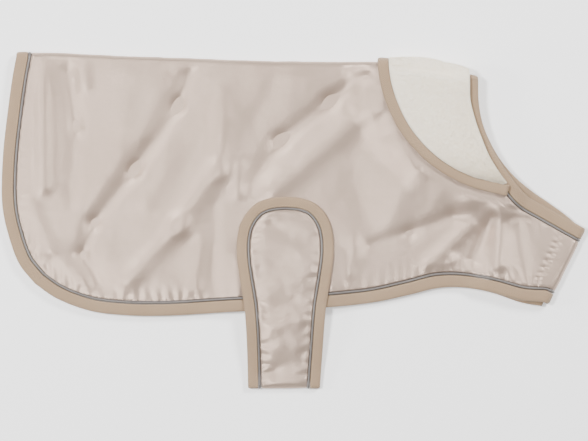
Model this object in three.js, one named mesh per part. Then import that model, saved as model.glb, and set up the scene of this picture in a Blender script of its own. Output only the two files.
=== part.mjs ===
// A dog's rain coat, folded along its spine and laid flat. Millimetres, +Z up.
// +X points to the neck, +Y to the spine, and z = 0 is the surface it lies on.
// Every piece is drawn on the flat cloth as (x, s): x runs along the spine, and s is the distance
// from the spine, positive on the near half and negative on the far half. place() folds it up.
import * as THREE from "three";

const WALL = 3.6; // lightly padded shell, and the binding that wraps its edge
const GAP = 0.3; // at seams
const LAY_GAP = 1.25; // between layers that only lie on each other
const PITCH = WALL + LAY_GAP; // from one lying layer to the next
const BINDING_WIDTH = 12;
const PIPING_WIDTH = 3;
const SHELL_INSET = BINDING_WIDTH + PIPING_WIDTH + 2 * GAP;
const SPINE_SPRING = 2.2; // the spine fold stands open by this much
const SPINE_RADIUS = (PITCH + SPINE_SPRING) / 2;
const SPINE_REACH = 60; // how far from the spine the spring dies away
const QUARTER = (Math.PI * SPINE_RADIUS) / 2; // cloth from the spine to the end of its fold
const CHEST_RADIUS = PITCH;
const CHEST_RETURN = 50; // the near flap that lies under the far one
const PLUSH = 8; // depth of the collar's pile and its cloth
const COLLAR_BINDING = 11;
const COLLAR_SLOPE = 32; // cloth that climbs onto the collar
const STRAP_WALL = 2.6;
const STRAP_BINDING = 10.5;
const STRAP_PIPING = 2.6;
const STRAP_INSET = STRAP_BINDING + STRAP_PIPING + 2 * GAP;
const STRAP_ROOT = -48; // y of the end sewn inside the far half
const STRAP_TURN = -171.5; // y where the strap folds
const TAIL_X = -284;
const NAPE_X = 190;

// Grid counts: along the spine, along the neckline, down the tail, across the spine fold.
const SPINE_CELLS = 24;
const NECK_CELLS = 13;
const SIDE_CELLS = 10;
const FOLD_CELLS = 4;
const TURN_CELLS = 4;
const RETURN_CELLS = 2;
const CORNER_CELL = 19;

const COLOURS = {
  satin: 0xcdbeb2,
  tape: 0xb89f80,
  cord: 0x6f6964,
  plush: 0xf3e8d2,
};

// Outlines, each a smooth curve through its points.
const point = ([x, y]) => new THREE.Vector3(x, y, 0);
const curve = (rows) => new THREE.CatmullRomCurve3(rows.map(point), false, "centripetal");
const SPINE = curve([[-300, 173.5], [-259, 173], [-193, 170], [-111, 167], [-29, 164], [60, 163], [100, 162],
  [140, 158], [190, 148]]);
const TAIL_EDGE = curve([[-265, -65], [-281, -45], [-292, -16], [-298.5, 15], [-298, 65], [-293, 112],
  [-287.5, 150], [TAIL_X, 168]]);
const HEM = {
  near: curve([[-265, -65], [-243, -80], [-208, -93], [-171, -97.5], [-130, -98], [-54, -93.5], [39, -89],
    [85, -84], [120, -76.5], [150, -69.5], [175, -69], [205, -74], [235, -82], [264, -84]]),
  far: curve([[-265, -65], [-243, -80], [-208, -93], [-171, -97.5], [-130, -98], [-54, -93], [39, -88.5],
    [85, -83.5], [120, -76], [150, -69], [175, -68.5], [205, -74.5], [235, -84.5], [256, -88]]),
};
const NECKLINE = {
  near: curve([[190, 141], [190.5, 122], [194, 102], [202, 79], [213, 60], [224, 44], [240, 26], [262, 13],
    [284, 0.5], [301, -9]]),
  far: curve([[190, 141], [190.5, 122], [194, 103], [202.5, 81], [215, 60], [230, 43], [246, 30], [262, 19],
    [280, 6], [294, -6]]),
};
const COLLAR_FREE = curve([[87, 156], [90, 138], [98, 114], [112, 88], [132, 65], [154, 48], [180, 35], [205, 28],
  [219, 25]]);
const COLLAR_NECK = curve([[181, 143], [181.5, 124], [186, 105], [193, 85], [201, 66], [210, 51], [221, 35]]);
const STRAP_LEFT = curve([[-7, 24.5], [-38, 17], [-53, -2], [-57.5, -27], [-55, -55], [-49.7, -88], [-47, -130],
  [-46, -172]]);
const STRAP_RIGHT = curve([[-7, 24.5], [23, 17.5], [37.5, -1], [42, -27], [39.5, -55], [34.3, -88], [31, -130],
  [28, -172]]);
const HEM_SPLIT = 150; // hem x below the nape, where the hem's two stretches of cells meet

// The largest soft ridges of the shell: from, to, half width and height.
const RIDGES = [
  { from: [-257, 160], to: [-256, 35], width: 9, height: 2.0 },
  { from: [-172, 150], to: [-176, 100], width: 26, height: 1.5 },
  { from: [-73, 129], to: [-75, 52], width: 12, height: 1.6 },
  { from: [-80, 50], to: [-118, -5], width: 12, height: 1.9 },
  { from: [-118, -5], to: [-170, -62], width: 11, height: 1.8 },
  { from: [80, 118], to: [-20, 32], width: 13, height: 1.9 },
  { from: [110, 34], to: [140, 20], width: 25, height: 1.4 },
  { from: [139, -46], to: [183, -4], width: 8, height: 1.7 },
  { from: [211, 12], to: [211, -45], width: 8, height: 1.8 },
  { from: [60, -24], to: [52, -52], width: 11, height: 1.6 },
];

const clamp01 = (v) => Math.min(1, Math.max(0, v));
const smooth = (v) => clamp01(v) ** 2 * (3 - 2 * clamp01(v));

function toSegment(x, y, [ax, ay], [bx, by]) {
  const along = clamp01(((x - ax) * (bx - ax) + (y - ay) * (by - ay)) / ((bx - ax) ** 2 + (by - ay) ** 2));
  return Math.hypot(x - ax - along * (bx - ax), y - ay - along * (by - ay));
}

// y of the line where the flat cloth starts to turn into the spine fold
const spineTable = SPINE.getPoints(80);
function foldY(x) {
  const last = spineTable.length - 1;
  const at = spineTable.findIndex((p) => p.x >= Math.min(x, NAPE_X - 0.01));
  const [a, b] = [spineTable[Math.max(0, (at < 0 ? last : at) - 1)], spineTable[at < 0 ? last : at]];
  const part = clamp01((Math.min(x, NAPE_X) - a.x) / Math.max(1e-6, b.x - a.x));
  return a.y + (b.y - a.y) * part - SPINE_RADIUS - WALL / 2;
}

// The chest fold: a straight line up the front of the coat, and the direction away from the coat.
const FOLD_LOW = HEM.near.getPoint(1);
const FOLD_HIGH = NECKLINE.near.getPoint(1);
const foldAlong = FOLD_HIGH.clone().sub(FOLD_LOW).normalize();
const foldOut = new THREE.Vector3(foldAlong.y, -foldAlong.x, 0);
const beyondChest = (x, y) => (x - FOLD_HIGH.x) * foldOut.x + (y - FOLD_HIGH.y) * foldOut.y;
const CHEST_CENTRE = -(CHEST_RADIUS + WALL / 2);
const CHEST_TURN = Math.PI * CHEST_RADIUS;

// Heights of the middle of each half. The far half climbs over the far side of the collar and over the
// near flap's return; the near half lies on it, over the strap's root and in soft ridges.
const collarEdge = COLLAR_FREE.getPoints(40);
const neckEdge = NECKLINE.near.getPoints(40);
function collarLift(x, y) {
  const distance = Math.min(...collarEdge.slice(1).map((p, i) =>
    toSegment(x, y, [collarEdge[i].x, collarEdge[i].y], [p.x, p.y])));
  const nearest = collarEdge.reduce((best, p) =>
    (Math.hypot(p.x - x, p.y - y) < Math.hypot(best.x - x, best.y - y) ? p : best));
  const inside = y > 25 && (x > nearest.x || y > nearest.y) && x < 225;
  return inside ? 1 : 1 - smooth((distance - 6) / COLLAR_SLOPE);
}
const returnLift = (x, y) => smooth((beyondChest(x, y) + 88) / 22);
const farZ = (x, y) =>
  WALL / 2 + Math.max((PLUSH + LAY_GAP) * collarLift(x, y), PITCH * returnLift(x, y));
function ridges(x, y) {
  const rise = RIDGES.reduce((sum, r) => sum + r.height * Math.exp(-((toSegment(x, y, r.from, r.to) / r.width) ** 2)), 0);
  return Math.min(rise, 2.4);
}
function nearExtras(x, y) {
  const spring = SPINE_SPRING * (1 - smooth((foldY(x) - y) / SPINE_REACH));
  const away = Math.max(Math.abs(x + 8) - 48, y - (STRAP_ROOT + 3), 0);
  const strap = (STRAP_WALL + LAY_GAP) * (1 - smooth(away / 28));
  const calm = 1 - smooth((beyondChest(x, y) + 34) / 20);
  const free = smooth((foldY(x) - y) / 20) * (1 - smooth((x - 60) / 30) * smooth(collarLift(x, y)));
  return Math.max(spring, strap, Math.max(spring, ridges(x, y)) * free) * calm;
}
const nearZ = (x, y) => farZ(x, y) + PITCH + nearExtras(x, y);

// Folds a point of the flat cloth, raised h from its middle towards its outer face.
function place(x, s, h) {
  const edge = foldY(x);
  if (Math.abs(s) < QUARTER) {
    const turn = s / SPINE_RADIUS;
    const reach = SPINE_RADIUS + h;
    return [x, edge + reach * Math.cos(turn), farZ(x, edge) + SPINE_RADIUS + reach * Math.sin(turn)];
  }
  const y = edge - (Math.abs(s) - QUARTER);
  if (s < 0) return [x, y, farZ(x, y) - h];
  const past = beyondChest(x, y) - CHEST_CENTRE;
  if (past <= 0) return [x, y, nearZ(x, y) + h];
  const turned = Math.min(past, CHEST_TURN);
  const angle = turned / CHEST_RADIUS;
  const out = (CHEST_RADIUS + h) * Math.sin(angle) - (past - turned) - past;
  const z = WALL / 2 + CHEST_RADIUS + (CHEST_RADIUS + h) * Math.cos(angle);
  return [x + foldOut.x * out, y + foldOut.y * out, z];
}
const flat = (p, side) => ({ x: p.x, s: side * (foldY(p.x) - p.y + QUARTER) });

// ---- solids -------------------------------------------------------------------------------------

function solid(name, positions, faces, colour, roughness) {
  const geometry = new THREE.BufferGeometry();
  geometry.setAttribute("position", new THREE.Float32BufferAttribute(positions.flat(), 3));
  geometry.setIndex(faces.flat());
  geometry.computeVertexNormals();
  const volume = faces.reduce((sum, [a, b, c]) => {
    const [p, q, r] = [a, b, c].map((i) => new THREE.Vector3(...positions[i]));
    return sum + p.dot(q.cross(r));
  }, 0);
  if (volume < 0) geometry.setIndex(faces.map(([a, b, c]) => [a, c, b]).flat());
  const mesh = new THREE.Mesh(geometry, new THREE.MeshStandardMaterial({ color: colour, roughness }));
  mesh.name = name;
  return mesh;
}

// A wall over a grid of cells, some of them left out: outer face, inner face and the rims.
function wall(name, columns, rows, has, at, colour, roughness) {
  const index = new Map();
  const positions = [];
  const vertex = (i, j, face) => {
    const key = `${i} ${j} ${face}`;
    if (!index.has(key)) {
      index.set(key, positions.length);
      positions.push(at(i, j, face));
    }
    return index.get(key);
  };
  const faces = [];
  const filled = (i, j) => i >= 0 && j >= 0 && i < columns && j < rows && has(i, j);
  for (let i = 0; i < columns; i += 1) {
    for (let j = 0; j < rows; j += 1) {
      if (!filled(i, j)) continue;
      const corners = [[i, j], [i + 1, j], [i + 1, j + 1], [i, j + 1]];
      const [a, b, c, d] = corners.map(([p, q]) => vertex(p, q, 1));
      const [e, f, g, h] = corners.map(([p, q]) => vertex(p, q, 0));
      faces.push([a, b, c], [a, c, d], [e, g, f], [e, h, g]);
      const sides = [[i, j - 1, 0, 1], [i + 1, j, 1, 2], [i, j + 1, 2, 3], [i - 1, j, 3, 0]];
      for (const [ni, nj, p, q] of sides) {
        if (filled(ni, nj)) continue;
        const [t0, t1] = [[a, b, c, d][p], [a, b, c, d][q]];
        const [u0, u1] = [[e, f, g, h][p], [e, f, g, h][q]];
        faces.push([t1, t0, u0], [t1, u0, u1]);
      }
    }
  }
  return solid(name, positions, faces, colour, roughness);
}

// Mitred directions to the left of a path's travel, for each of its points.
function inward(path, closed) {
  return path.map((p, k) => {
    const before = path[k === 0 ? (closed ? path.length - 1 : 0) : k - 1];
    const after = path[k === path.length - 1 ? (closed ? 0 : k) : k + 1];
    const unit = (a, b) => {
      const length = Math.hypot(b.x - a.x, b.s - a.s) || 1;
      return [(b.x - a.x) / length, (b.s - a.s) / length];
    };
    const first = before === p ? unit(p, after) : unit(before, p);
    const second = after === p ? first : unit(p, after);
    const sum = [first[0] + second[0], first[1] + second[1]];
    const scale = 2 / (sum[0] ** 2 + sum[1] ** 2);
    return { x: -sum[1] * scale, s: sum[0] * scale };
  });
}
const shifted = (path, normals, distance) =>
  path.map((p, k) => ({ x: p.x + normals[k].x * distance, s: p.s + normals[k].s * distance }));

// A strip with the given section (across the strip, up) along a path on the cloth.
function strip(name, path, closed, section, map, colour, roughness) {
  const normals = inward(path, closed);
  const sides = section.length;
  const positions = path.flatMap((p, k) => section.map(([across, up]) =>
    map(p.x + normals[k].x * across, p.s + normals[k].s * across, up)));
  const faces = [];
  const turns = closed ? path.length : path.length - 1;
  for (let k = 0; k < turns; k += 1) {
    const next = (k + 1) % path.length;
    for (let m = 0; m < sides; m += 1) {
      const [a, b] = [k * sides + m, k * sides + ((m + 1) % sides)];
      const [c, d] = [next * sides + m, next * sides + ((m + 1) % sides)];
      faces.push([a, c, b], [b, c, d]);
    }
  }
  if (!closed) {
    const end = (path.length - 1) * sides;
    for (let m = 1; m < sides - 1; m += 1) {
      faces.push([0, m, m + 1], [end, end + m + 1, end + m]);
    }
  }
  return solid(name, positions, faces, colour, roughness);
}
const tapeSection = (width, low, high) => [[0, low + 0.9], [0.9, low], [width, low], [width, high],
  [0.9, high], [0, high - 0.9]];
const cordSection = (from, width, low, high) => {
  const [middle, centre, up] = [from + width / 2, (low + high) / 2, (high - low) / 2];
  return [0, 1, 2, 3].map((k) => [middle + (width / 2) * Math.cos((k * Math.PI) / 2),
    centre + up * Math.sin((k * Math.PI) / 2)]);
};

// ---- stations along the edge, shared by shell, piping and binding ----------------------------------

function spaced(line, cells, ease = (v) => v) {
  return Array.from({ length: cells + 1 }, (_, k) => line.getPointAt(ease(k / cells)));
}
// The last cell before the chest is long enough for its corner to be mitred.
function toCorner(line, start) {
  const corner = 1 - CORNER_CELL / line.getLength();
  return spaced(line, NECK_CELLS, (v) => {
    const cell = Math.round(v * NECK_CELLS);
    return cell === NECK_CELLS ? 1 : start + ((corner - start) * cell) / (NECK_CELLS - 1);
  });
}
function hemStations(line) {
  let split = 0;
  while (line.getPointAt(split).x < HEM_SPLIT) split += 0.002;
  return [...spaced(line, SPINE_CELLS, (v) => v * split), ...toCorner(line, split).slice(1)];
}
const half = (side) => {
  const name = side > 0 ? "near" : "far";
  const neck = toCorner(NECKLINE[name], 0).map((p) => flat(p, side));
  neck[0] = { x: NAPE_X, s: side * QUARTER };
  const tail = spaced(TAIL_EDGE, SIDE_CELLS, (v) => v ** 1.35).map((p) => flat(p, side));
  tail[SIDE_CELLS] = { x: TAIL_X, s: side * QUARTER };
  return { neck, tail, hem: hemStations(HEM[name]).map((p) => flat(p, side)) };
};
const near = half(1);
const far = half(-1);
const returnSteps = [
  ...Array.from({ length: TURN_CELLS }, (_, k) => CHEST_CENTRE + (CHEST_TURN * (k + 1)) / TURN_CELLS),
  ...Array.from({ length: RETURN_CELLS }, (_, k) =>
    CHEST_CENTRE + CHEST_TURN + (CHEST_RETURN * (k + 1)) / RETURN_CELLS),
];
const pushed = (p, distance) => ({ x: p.x + foldOut.x * distance, s: p.s - foldOut.y * distance });
// The chest fold starts a little before the outline's own end, so the last station is pulled back to it.
near.neck[NECK_CELLS] = pushed(near.neck[NECK_CELLS], CHEST_CENTRE);
near.hem[near.hem.length - 1] = pushed(near.hem[near.hem.length - 1], CHEST_CENTRE);
const fromCentre = (p) => returnSteps.map((step) => pushed(p, step - CHEST_CENTRE));
near.neckReturn = fromCentre(near.neck[NECK_CELLS]);
near.hemReturn = fromCentre(near.hem[near.hem.length - 1]);
const across = (x) => Array.from({ length: FOLD_CELLS - 1 }, (_, k) =>
  ({ x, s: QUARTER - (2 * QUARTER * (k + 1)) / FOLD_CELLS }));

const sections = {
  neckNear: near.neck, neckReturn: near.neckReturn, hemReturn: [...near.hemReturn].reverse(),
  hemNear: [...near.hem].reverse(), tailNear: near.tail.slice(1), tailTurn: across(TAIL_X),
  tailFar: [...far.tail].reverse().slice(0, -1), hemFar: far.hem, neckFar: [...far.neck].reverse(),
  nape: across(NAPE_X).reverse(),
};
const edge = Object.values(sections).flat();
const edgeNormals = inward(edge, true);
const rim = {};
let cursor = 0;
for (const [name, list] of Object.entries(sections)) {
  const to = cursor + list.length;
  rim[name] = shifted(edge.slice(cursor, to), edgeNormals.slice(cursor, to), SHELL_INSET);
  cursor = to;
}

// ---- the shell -----------------------------------------------------------------------------------

const blend = (a, b, t) => ({ x: a.x + (b.x - a.x) * t, s: a.s + (b.s - a.s) * t });
const spineRow = (side) => Array.from({ length: SPINE_CELLS + 1 }, (_, k) => ({
  x: TAIL_X + SHELL_INSET + ((NAPE_X - TAIL_X - 2 * SHELL_INSET) * k) / SPINE_CELLS, s: side * QUARTER }));
function panel(hem, tail, top, columns) {
  const right = (v) => blend(hem[columns], top[columns], v);
  return (i, j) => {
    const [u, v] = [i / columns, j / SIDE_CELLS];
    const ruled = blend(hem[i], top[i], v);
    const side = blend(tail[j], right(v), u);
    const corner = blend(blend(hem[0], hem[columns], u), blend(top[0], top[columns], u), v);
    return { x: ruled.x + side.x - corner.x, s: ruled.s + side.s - corner.s };
  };
}
const COLUMNS = SPINE_CELLS + NECK_CELLS;
const nearHem = [...rim.hemNear].reverse();
const nearPanel = panel(nearHem, [nearHem[0], ...rim.tailNear],
  [...spineRow(1), ...rim.neckNear.slice(1)], COLUMNS);
const farTail = [...rim.tailFar].reverse();
const farPanel = panel(rim.hemFar, [rim.hemFar[0], ...farTail],
  [...spineRow(-1), ...[...rim.neckFar].reverse().slice(1)], COLUMNS);
const EXTRA = returnSteps.length;
const backHem = [...rim.hemReturn].reverse();
const FOLD_START = SIDE_CELLS;
const FAR_START = SIDE_CELLS + FOLD_CELLS;
function shellPoint(i, j) {
  if (i > COLUMNS) return blend(backHem[i - COLUMNS - 1], rim.neckReturn[i - COLUMNS - 1], j / SIDE_CELLS);
  if (j <= FOLD_START) return nearPanel(i, j);
  if (j >= FAR_START) return farPanel(i, SIDE_CELLS - (j - FAR_START));
  const x = nearPanel(i, SIDE_CELLS).x;
  return { x, s: QUARTER - (2 * QUARTER * (j - FOLD_START)) / FOLD_CELLS };
}
const shell = wall("body_shell", COLUMNS + EXTRA, FAR_START + SIDE_CELLS,
  (i, j) => j < FOLD_START || (j < FAR_START ? i < SPINE_CELLS : i < COLUMNS),
  (i, j, face) => {
    const p = shellPoint(i, j);
    return place(p.x, p.s, face ? WALL / 2 : -WALL / 2);
  }, COLOURS.satin, 0.45);

const binding = strip("edge_binding", edge, true, tapeSection(BINDING_WIDTH, -WALL / 2, WALL / 2), place,
  COLOURS.tape, 0.85);
const piping = strip("edge_piping", edge, true,
  cordSection(BINDING_WIDTH + GAP, PIPING_WIDTH, -WALL / 2 + 0.6, WALL / 2), place, COLOURS.cord, 0.5);

// ---- the collar ------------------------------------------------------------------------------------

const COLLAR_CELLS = 12;
const PILE_CELLS = 6;
const COLLAR_BASE = WALL / 2 + LAY_GAP;
function collarLine(line) {
  const upper = spaced(line, COLLAR_CELLS, (v) => 1 - v).map((p) => flat(p, 1));
  upper[COLLAR_CELLS] = { x: upper[COLLAR_CELLS].x, s: QUARTER };
  const lower = upper.map((p) => ({ x: p.x, s: -p.s })).reverse();
  return [...upper, ...across(upper[COLLAR_CELLS].x), ...lower];
}
const freeLine = collarLine(COLLAR_FREE);
const freeNormals = inward(freeLine, false);
const pileFree = shifted(freeLine, freeNormals, COLLAR_BINDING + GAP);
const pileNeck = collarLine(COLLAR_NECK);
const COLLAR_SKIP = 2; // stations at each throat where the pile has run out
const collarColumns = pileNeck.length - 1 - 2 * COLLAR_SKIP;
const collar = wall("plush_collar", collarColumns, PILE_CELLS, () => true, (i, j, face) => {
  const p = blend(pileNeck[i + COLLAR_SKIP], pileFree[i + COLLAR_SKIP], j / PILE_CELLS);
  const crown = Math.sin(Math.PI * (0.14 + (0.72 * j) / PILE_CELLS)) ** 0.6;
  const throat = smooth((Math.min(i, collarColumns - i) + 1.5) / 4);
  return place(p.x, p.s, COLLAR_BASE + (face ? PLUSH * crown * (0.45 + 0.55 * throat) : 0));
}, COLOURS.plush, 0.95);
const collarBinding = strip("collar_binding", freeLine, false,
  tapeSection(COLLAR_BINDING, COLLAR_BASE, COLLAR_BASE + WALL), place, COLOURS.tape, 0.85);

// ---- the belly strap -------------------------------------------------------------------------------

// The strap's own cloth is (x, v): v is the length along it from the tip.
const TIP_Y = 24.5;
const HEM_Y = -94;
const TURN_RADIUS = 2.4;
const BACK_MIDDLE = WALL + LAY_GAP / 2 + STRAP_WALL / 2 + 0.1;
const FRONT_END = STRAP_TURN + TURN_RADIUS;
const frontLength = TIP_Y - FRONT_END;
const turnLength = Math.PI * TURN_RADIUS;
const backLength = STRAP_ROOT - FRONT_END;
const lowMiddle = STRAP_WALL / 2;
const frontOnCoat = (x, y) => nearZ(x, y) + WALL / 2 + LAY_GAP + STRAP_WALL / 2;
function strapPlace(x, v, h) {
  if (v <= frontLength) {
    const y = TIP_Y - v;
    const onCoat = frontOnCoat(x, Math.max(y, HEM_Y));
    const drop = smooth((HEM_Y - y) / (HEM_Y - FRONT_END));
    const z = onCoat + (lowMiddle + 2 * TURN_RADIUS - onCoat) * drop;
    return [x, y, z + h];
  }
  if (v <= frontLength + turnLength) {
    const angle = (v - frontLength) / TURN_RADIUS;
    const reach = TURN_RADIUS + h;
    return [x, FRONT_END - reach * Math.sin(angle), lowMiddle + TURN_RADIUS + reach * Math.cos(angle)];
  }
  const y = FRONT_END + (v - frontLength - turnLength);
  const climb = smooth((y + 150) / (HEM_Y - 6 + 150));
  return [x, y, lowMiddle + (BACK_MIDDLE - lowMiddle) * climb - h];
}
const FRONT_CELLS = 20;
const BACK_CELLS = 8;
const strapSide = (line) => {
  const front = spaced(line, FRONT_CELLS).map((p) => ({ x: p.x, s: Math.min(TIP_Y - p.y, frontLength) }));
  const end = front[FRONT_CELLS].x;
  front[FRONT_CELLS] = { x: end, s: frontLength };
  const turn = [1, 2, 3, 4].map((k) => ({ x: end, s: frontLength + (turnLength * k) / 4 }));
  const back = Array.from({ length: BACK_CELLS }, (_, k) => ({
    x: end, s: frontLength + turnLength + (backLength * (k + 1)) / BACK_CELLS }));
  return [...front, ...turn, ...back];
};
const strapLeft = strapSide(STRAP_LEFT);
const strapRight = strapSide(STRAP_RIGHT);
const strapEdge = [...[...strapLeft].reverse(), ...strapRight.slice(1)];
const strapNormals = inward(strapEdge, false);
const strapRim = shifted(strapEdge, strapNormals, STRAP_INSET);
const strapRows = strapLeft.length - 1;
const STRAP_ACROSS = 4;
const strap = wall("belly_strap", strapRows - 1, STRAP_ACROSS, () => true, (i, j, face) => {
  const p = blend(strapRim[strapRows - (i + 1)], strapRim[strapRows + (i + 1)], j / STRAP_ACROSS);
  return strapPlace(p.x, p.s, face ? STRAP_WALL / 2 : -STRAP_WALL / 2);
}, COLOURS.satin, 0.45);
const strapBinding = strip("strap_binding", strapEdge, false,
  tapeSection(STRAP_BINDING, -STRAP_WALL / 2, STRAP_WALL / 2), strapPlace, COLOURS.tape, 0.85);
const strapPiping = strip("strap_piping", strapEdge, false,
  cordSection(STRAP_BINDING + GAP, STRAP_PIPING, -STRAP_WALL / 2 + 0.3, STRAP_WALL / 2), strapPlace,
  COLOURS.cord, 0.5);

const coat = new THREE.Group();
coat.add(shell, binding, piping, collar, collarBinding, strap, strapBinding, strapPiping);
export default coat;
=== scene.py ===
# %% [markdown]
# # A dog's rain coat, folded along its spine and laid flat
# The coat is one satin-faced, lightly padded cloth. A tape and a thin cord run all round its edge, a
# plush collar is turned down over its neck, and a belly strap lies on its near half.
# The frame holds the real sizes, so it is loaded first, and every piece here stands in its place.

# %% Load the frame
import math

import bpy
import numpy as np
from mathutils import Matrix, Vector


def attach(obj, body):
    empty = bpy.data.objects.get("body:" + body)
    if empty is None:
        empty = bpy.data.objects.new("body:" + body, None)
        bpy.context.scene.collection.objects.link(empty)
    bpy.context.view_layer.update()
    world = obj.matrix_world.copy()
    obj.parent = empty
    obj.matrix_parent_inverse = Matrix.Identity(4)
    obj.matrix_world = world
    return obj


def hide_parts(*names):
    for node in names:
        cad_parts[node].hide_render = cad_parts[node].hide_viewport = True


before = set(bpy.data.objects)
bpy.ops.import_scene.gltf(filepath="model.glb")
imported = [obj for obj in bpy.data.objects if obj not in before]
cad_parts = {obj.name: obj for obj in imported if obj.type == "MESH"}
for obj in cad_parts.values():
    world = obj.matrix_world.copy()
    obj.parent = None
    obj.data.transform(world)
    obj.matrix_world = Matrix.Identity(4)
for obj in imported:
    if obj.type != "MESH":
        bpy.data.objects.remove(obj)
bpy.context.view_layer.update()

MM = 0.001
print("nodes:", sorted(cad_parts))

# %% [markdown]
# ## The coat's own sizes
# All lengths are in millimetres, and turn into metres only when a mesh is made. The flat cloth has its
# own coordinates: x along the spine, and s across it, positive on the near half, negative on the far.

# %% Sizes
WALL = 3.6
GAP = 0.3
LAY_GAP = 1.25
PITCH = WALL + LAY_GAP
BINDING_WIDTH = 12.0
PIPING_WIDTH = 3.0
SHELL_INSET = BINDING_WIDTH + PIPING_WIDTH + 2 * GAP
SPINE_SPRING = 2.2
SPINE_RADIUS = (PITCH + SPINE_SPRING) / 2
SPINE_REACH = 60.0  # how far from the spine its spring dies away
QUARTER = math.pi * SPINE_RADIUS / 2
CHEST_RADIUS = PITCH
CHEST_TURN = math.pi * CHEST_RADIUS
CHEST_CENTRE = -(CHEST_RADIUS + WALL / 2)
CHEST_RETURN = 50.0
RETURN_CLIMB_FROM, RETURN_CLIMB = -88.0, 22.0  # where the far half climbs onto the return
CHEST_CALM_FROM, CHEST_CALM = -34.0, 20.0  # the swells die away before the chest fold
PLUSH = 8.0
COLLAR_BASE = WALL / 2 + LAY_GAP
COLLAR_BINDING = 11.0
COLLAR_PLATEAU = 6.0
COLLAR_SLOPE = 32.0
COLLAR_CALM_FROM, COLLAR_CALM = 60.0, 30.0
STRAP_WALL = 2.6
STRAP_BINDING = 10.5
STRAP_PIPING = 2.6
STRAP_INSET = STRAP_BINDING + STRAP_PIPING + 2 * GAP
STRAP_ROOT = -48.0
STRAP_TURN = -171.5
STRAP_MIDDLE, ROOT_HALF_WIDTH, ROOT_CLIMB = -8.0, 48.0, 28.0
TAIL_X, NAPE_X = -284.0, 190.0
HEM_SPLIT = 150.0
print("shell wall:", WALL, "mm, spine fold radius:", SPINE_RADIUS, "mm")

# %% [markdown]
# ## Smooth outlines
# A dressmaker draws a pattern with a few marks and a bent ruler. A centripetal Catmull-Rom curve does
# the same: it passes through every mark, with no loops between marks that are close together.

# %% Curves through marks
class Line:
    """A smooth curve through a few marks, measured by its length."""

    def __init__(self, marks, steps=24):
        p = np.array(marks, float)
        p = np.vstack([2 * p[0] - p[1], p, 2 * p[-1] - p[-2]])
        out = []
        for a, b, c, d in zip(p[:-3], p[1:-2], p[2:-1], p[3:]):
            k0, k1, k2 = (max(np.linalg.norm(v) ** 0.5, 1e-4) for v in (b - a, c - b, d - c))
            t1 = ((b - a) / k0 - (c - a) / (k0 + k1) + (c - b) / k1) * k1
            t2 = ((c - b) / k1 - (d - b) / (k1 + k2) + (d - c) / k2) * k1
            t = np.linspace(0, 1, steps, endpoint=False)[:, None]
            square, cube = -3 * b + 3 * c - 2 * t1 - t2, 2 * b - 2 * c + t1 + t2
            out.append(b + t1 * t + square * t**2 + cube * t**3)
        self.points = np.vstack(out + [p[-2][None]])
        steps_long = np.linalg.norm(np.diff(self.points, axis=0), axis=1)
        self.along = np.concatenate([[0], np.cumsum(steps_long)])
        self.length = self.along[-1]

    def at(self, share):
        where = np.clip(np.asarray(share, float), 0, 1) * self.length
        return np.stack([np.interp(where, self.along, self.points[:, k]) for k in (0, 1)], -1)

# %% [markdown]
# The coat has a long back, a round corner at the tail, and a chest that ends in a fold. Each outline is
# a few rounded marks, side 1 for the near half and -1 for the far half, which differ only a little.

# %% Outlines of the pattern
SPINE = Line([[-300, 173.5], [-259, 173], [-193, 170], [-111, 167], [-29, 164], [60, 163], [100, 162],
              [140, 158], [190, 148]])
TAIL_EDGE = Line([[-265, -65], [-281, -45], [-292, -16], [-298.5, 15], [-298, 65], [-293, 112],
                  [-287.5, 150], [TAIL_X, 168]])
HEM = {
    1: Line([[-265, -65], [-243, -80], [-208, -93], [-171, -97.5], [-130, -98], [-54, -93.5], [39, -89],
             [85, -84], [120, -76.5], [150, -69.5], [175, -69], [205, -74], [235, -82], [264, -84]]),
    -1: Line([[-265, -65], [-243, -80], [-208, -93], [-171, -97.5], [-130, -98], [-54, -93], [39, -88.5],
              [85, -83.5], [120, -76], [150, -69], [175, -68.5], [205, -74.5], [235, -84.5], [256, -88]]),
}
NECKLINE = {
    1: Line([[190, 141], [190.5, 122], [194, 102], [202, 79], [213, 60], [224, 44], [240, 26], [262, 13],
             [284, 0.5], [301, -9]]),
    -1: Line([[190, 141], [190.5, 122], [194, 103], [202.5, 81], [215, 60], [230, 43], [246, 30],
              [262, 19], [280, 6], [294, -6]]),
}
COLLAR_FREE = Line([[87, 156], [90, 138], [98, 114], [112, 88], [132, 65], [154, 48], [180, 35], [205, 28],
                    [219, 25]])
COLLAR_NECK = Line([[181, 143], [181.5, 124], [186, 105], [193, 85], [201, 66], [210, 51], [221, 35]])
STRAP_OUTLINE = Line([[28, -172], [31, -130], [34.3, -88], [39.5, -55], [42, -27], [37.5, -1], [22, 18],
                      [-7, 24.5], [-37, 18], [-53, -2], [-57.5, -27], [-55, -55], [-49.7, -88], [-47, -130],
                      [-46, -172]])
TIP = int(STRAP_OUTLINE.points[:, 1].argmax())
STRAP_LEFT = Line(np.vstack([STRAP_OUTLINE.points[TIP:-6:12], STRAP_OUTLINE.points[-1]]))
STRAP_RIGHT = Line(np.vstack([STRAP_OUTLINE.points[TIP:6:-12], STRAP_OUTLINE.points[0]]))
print("hem length:", round(HEM[1].length), "mm, neckline:", round(NECKLINE[1].length), "mm")
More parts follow.
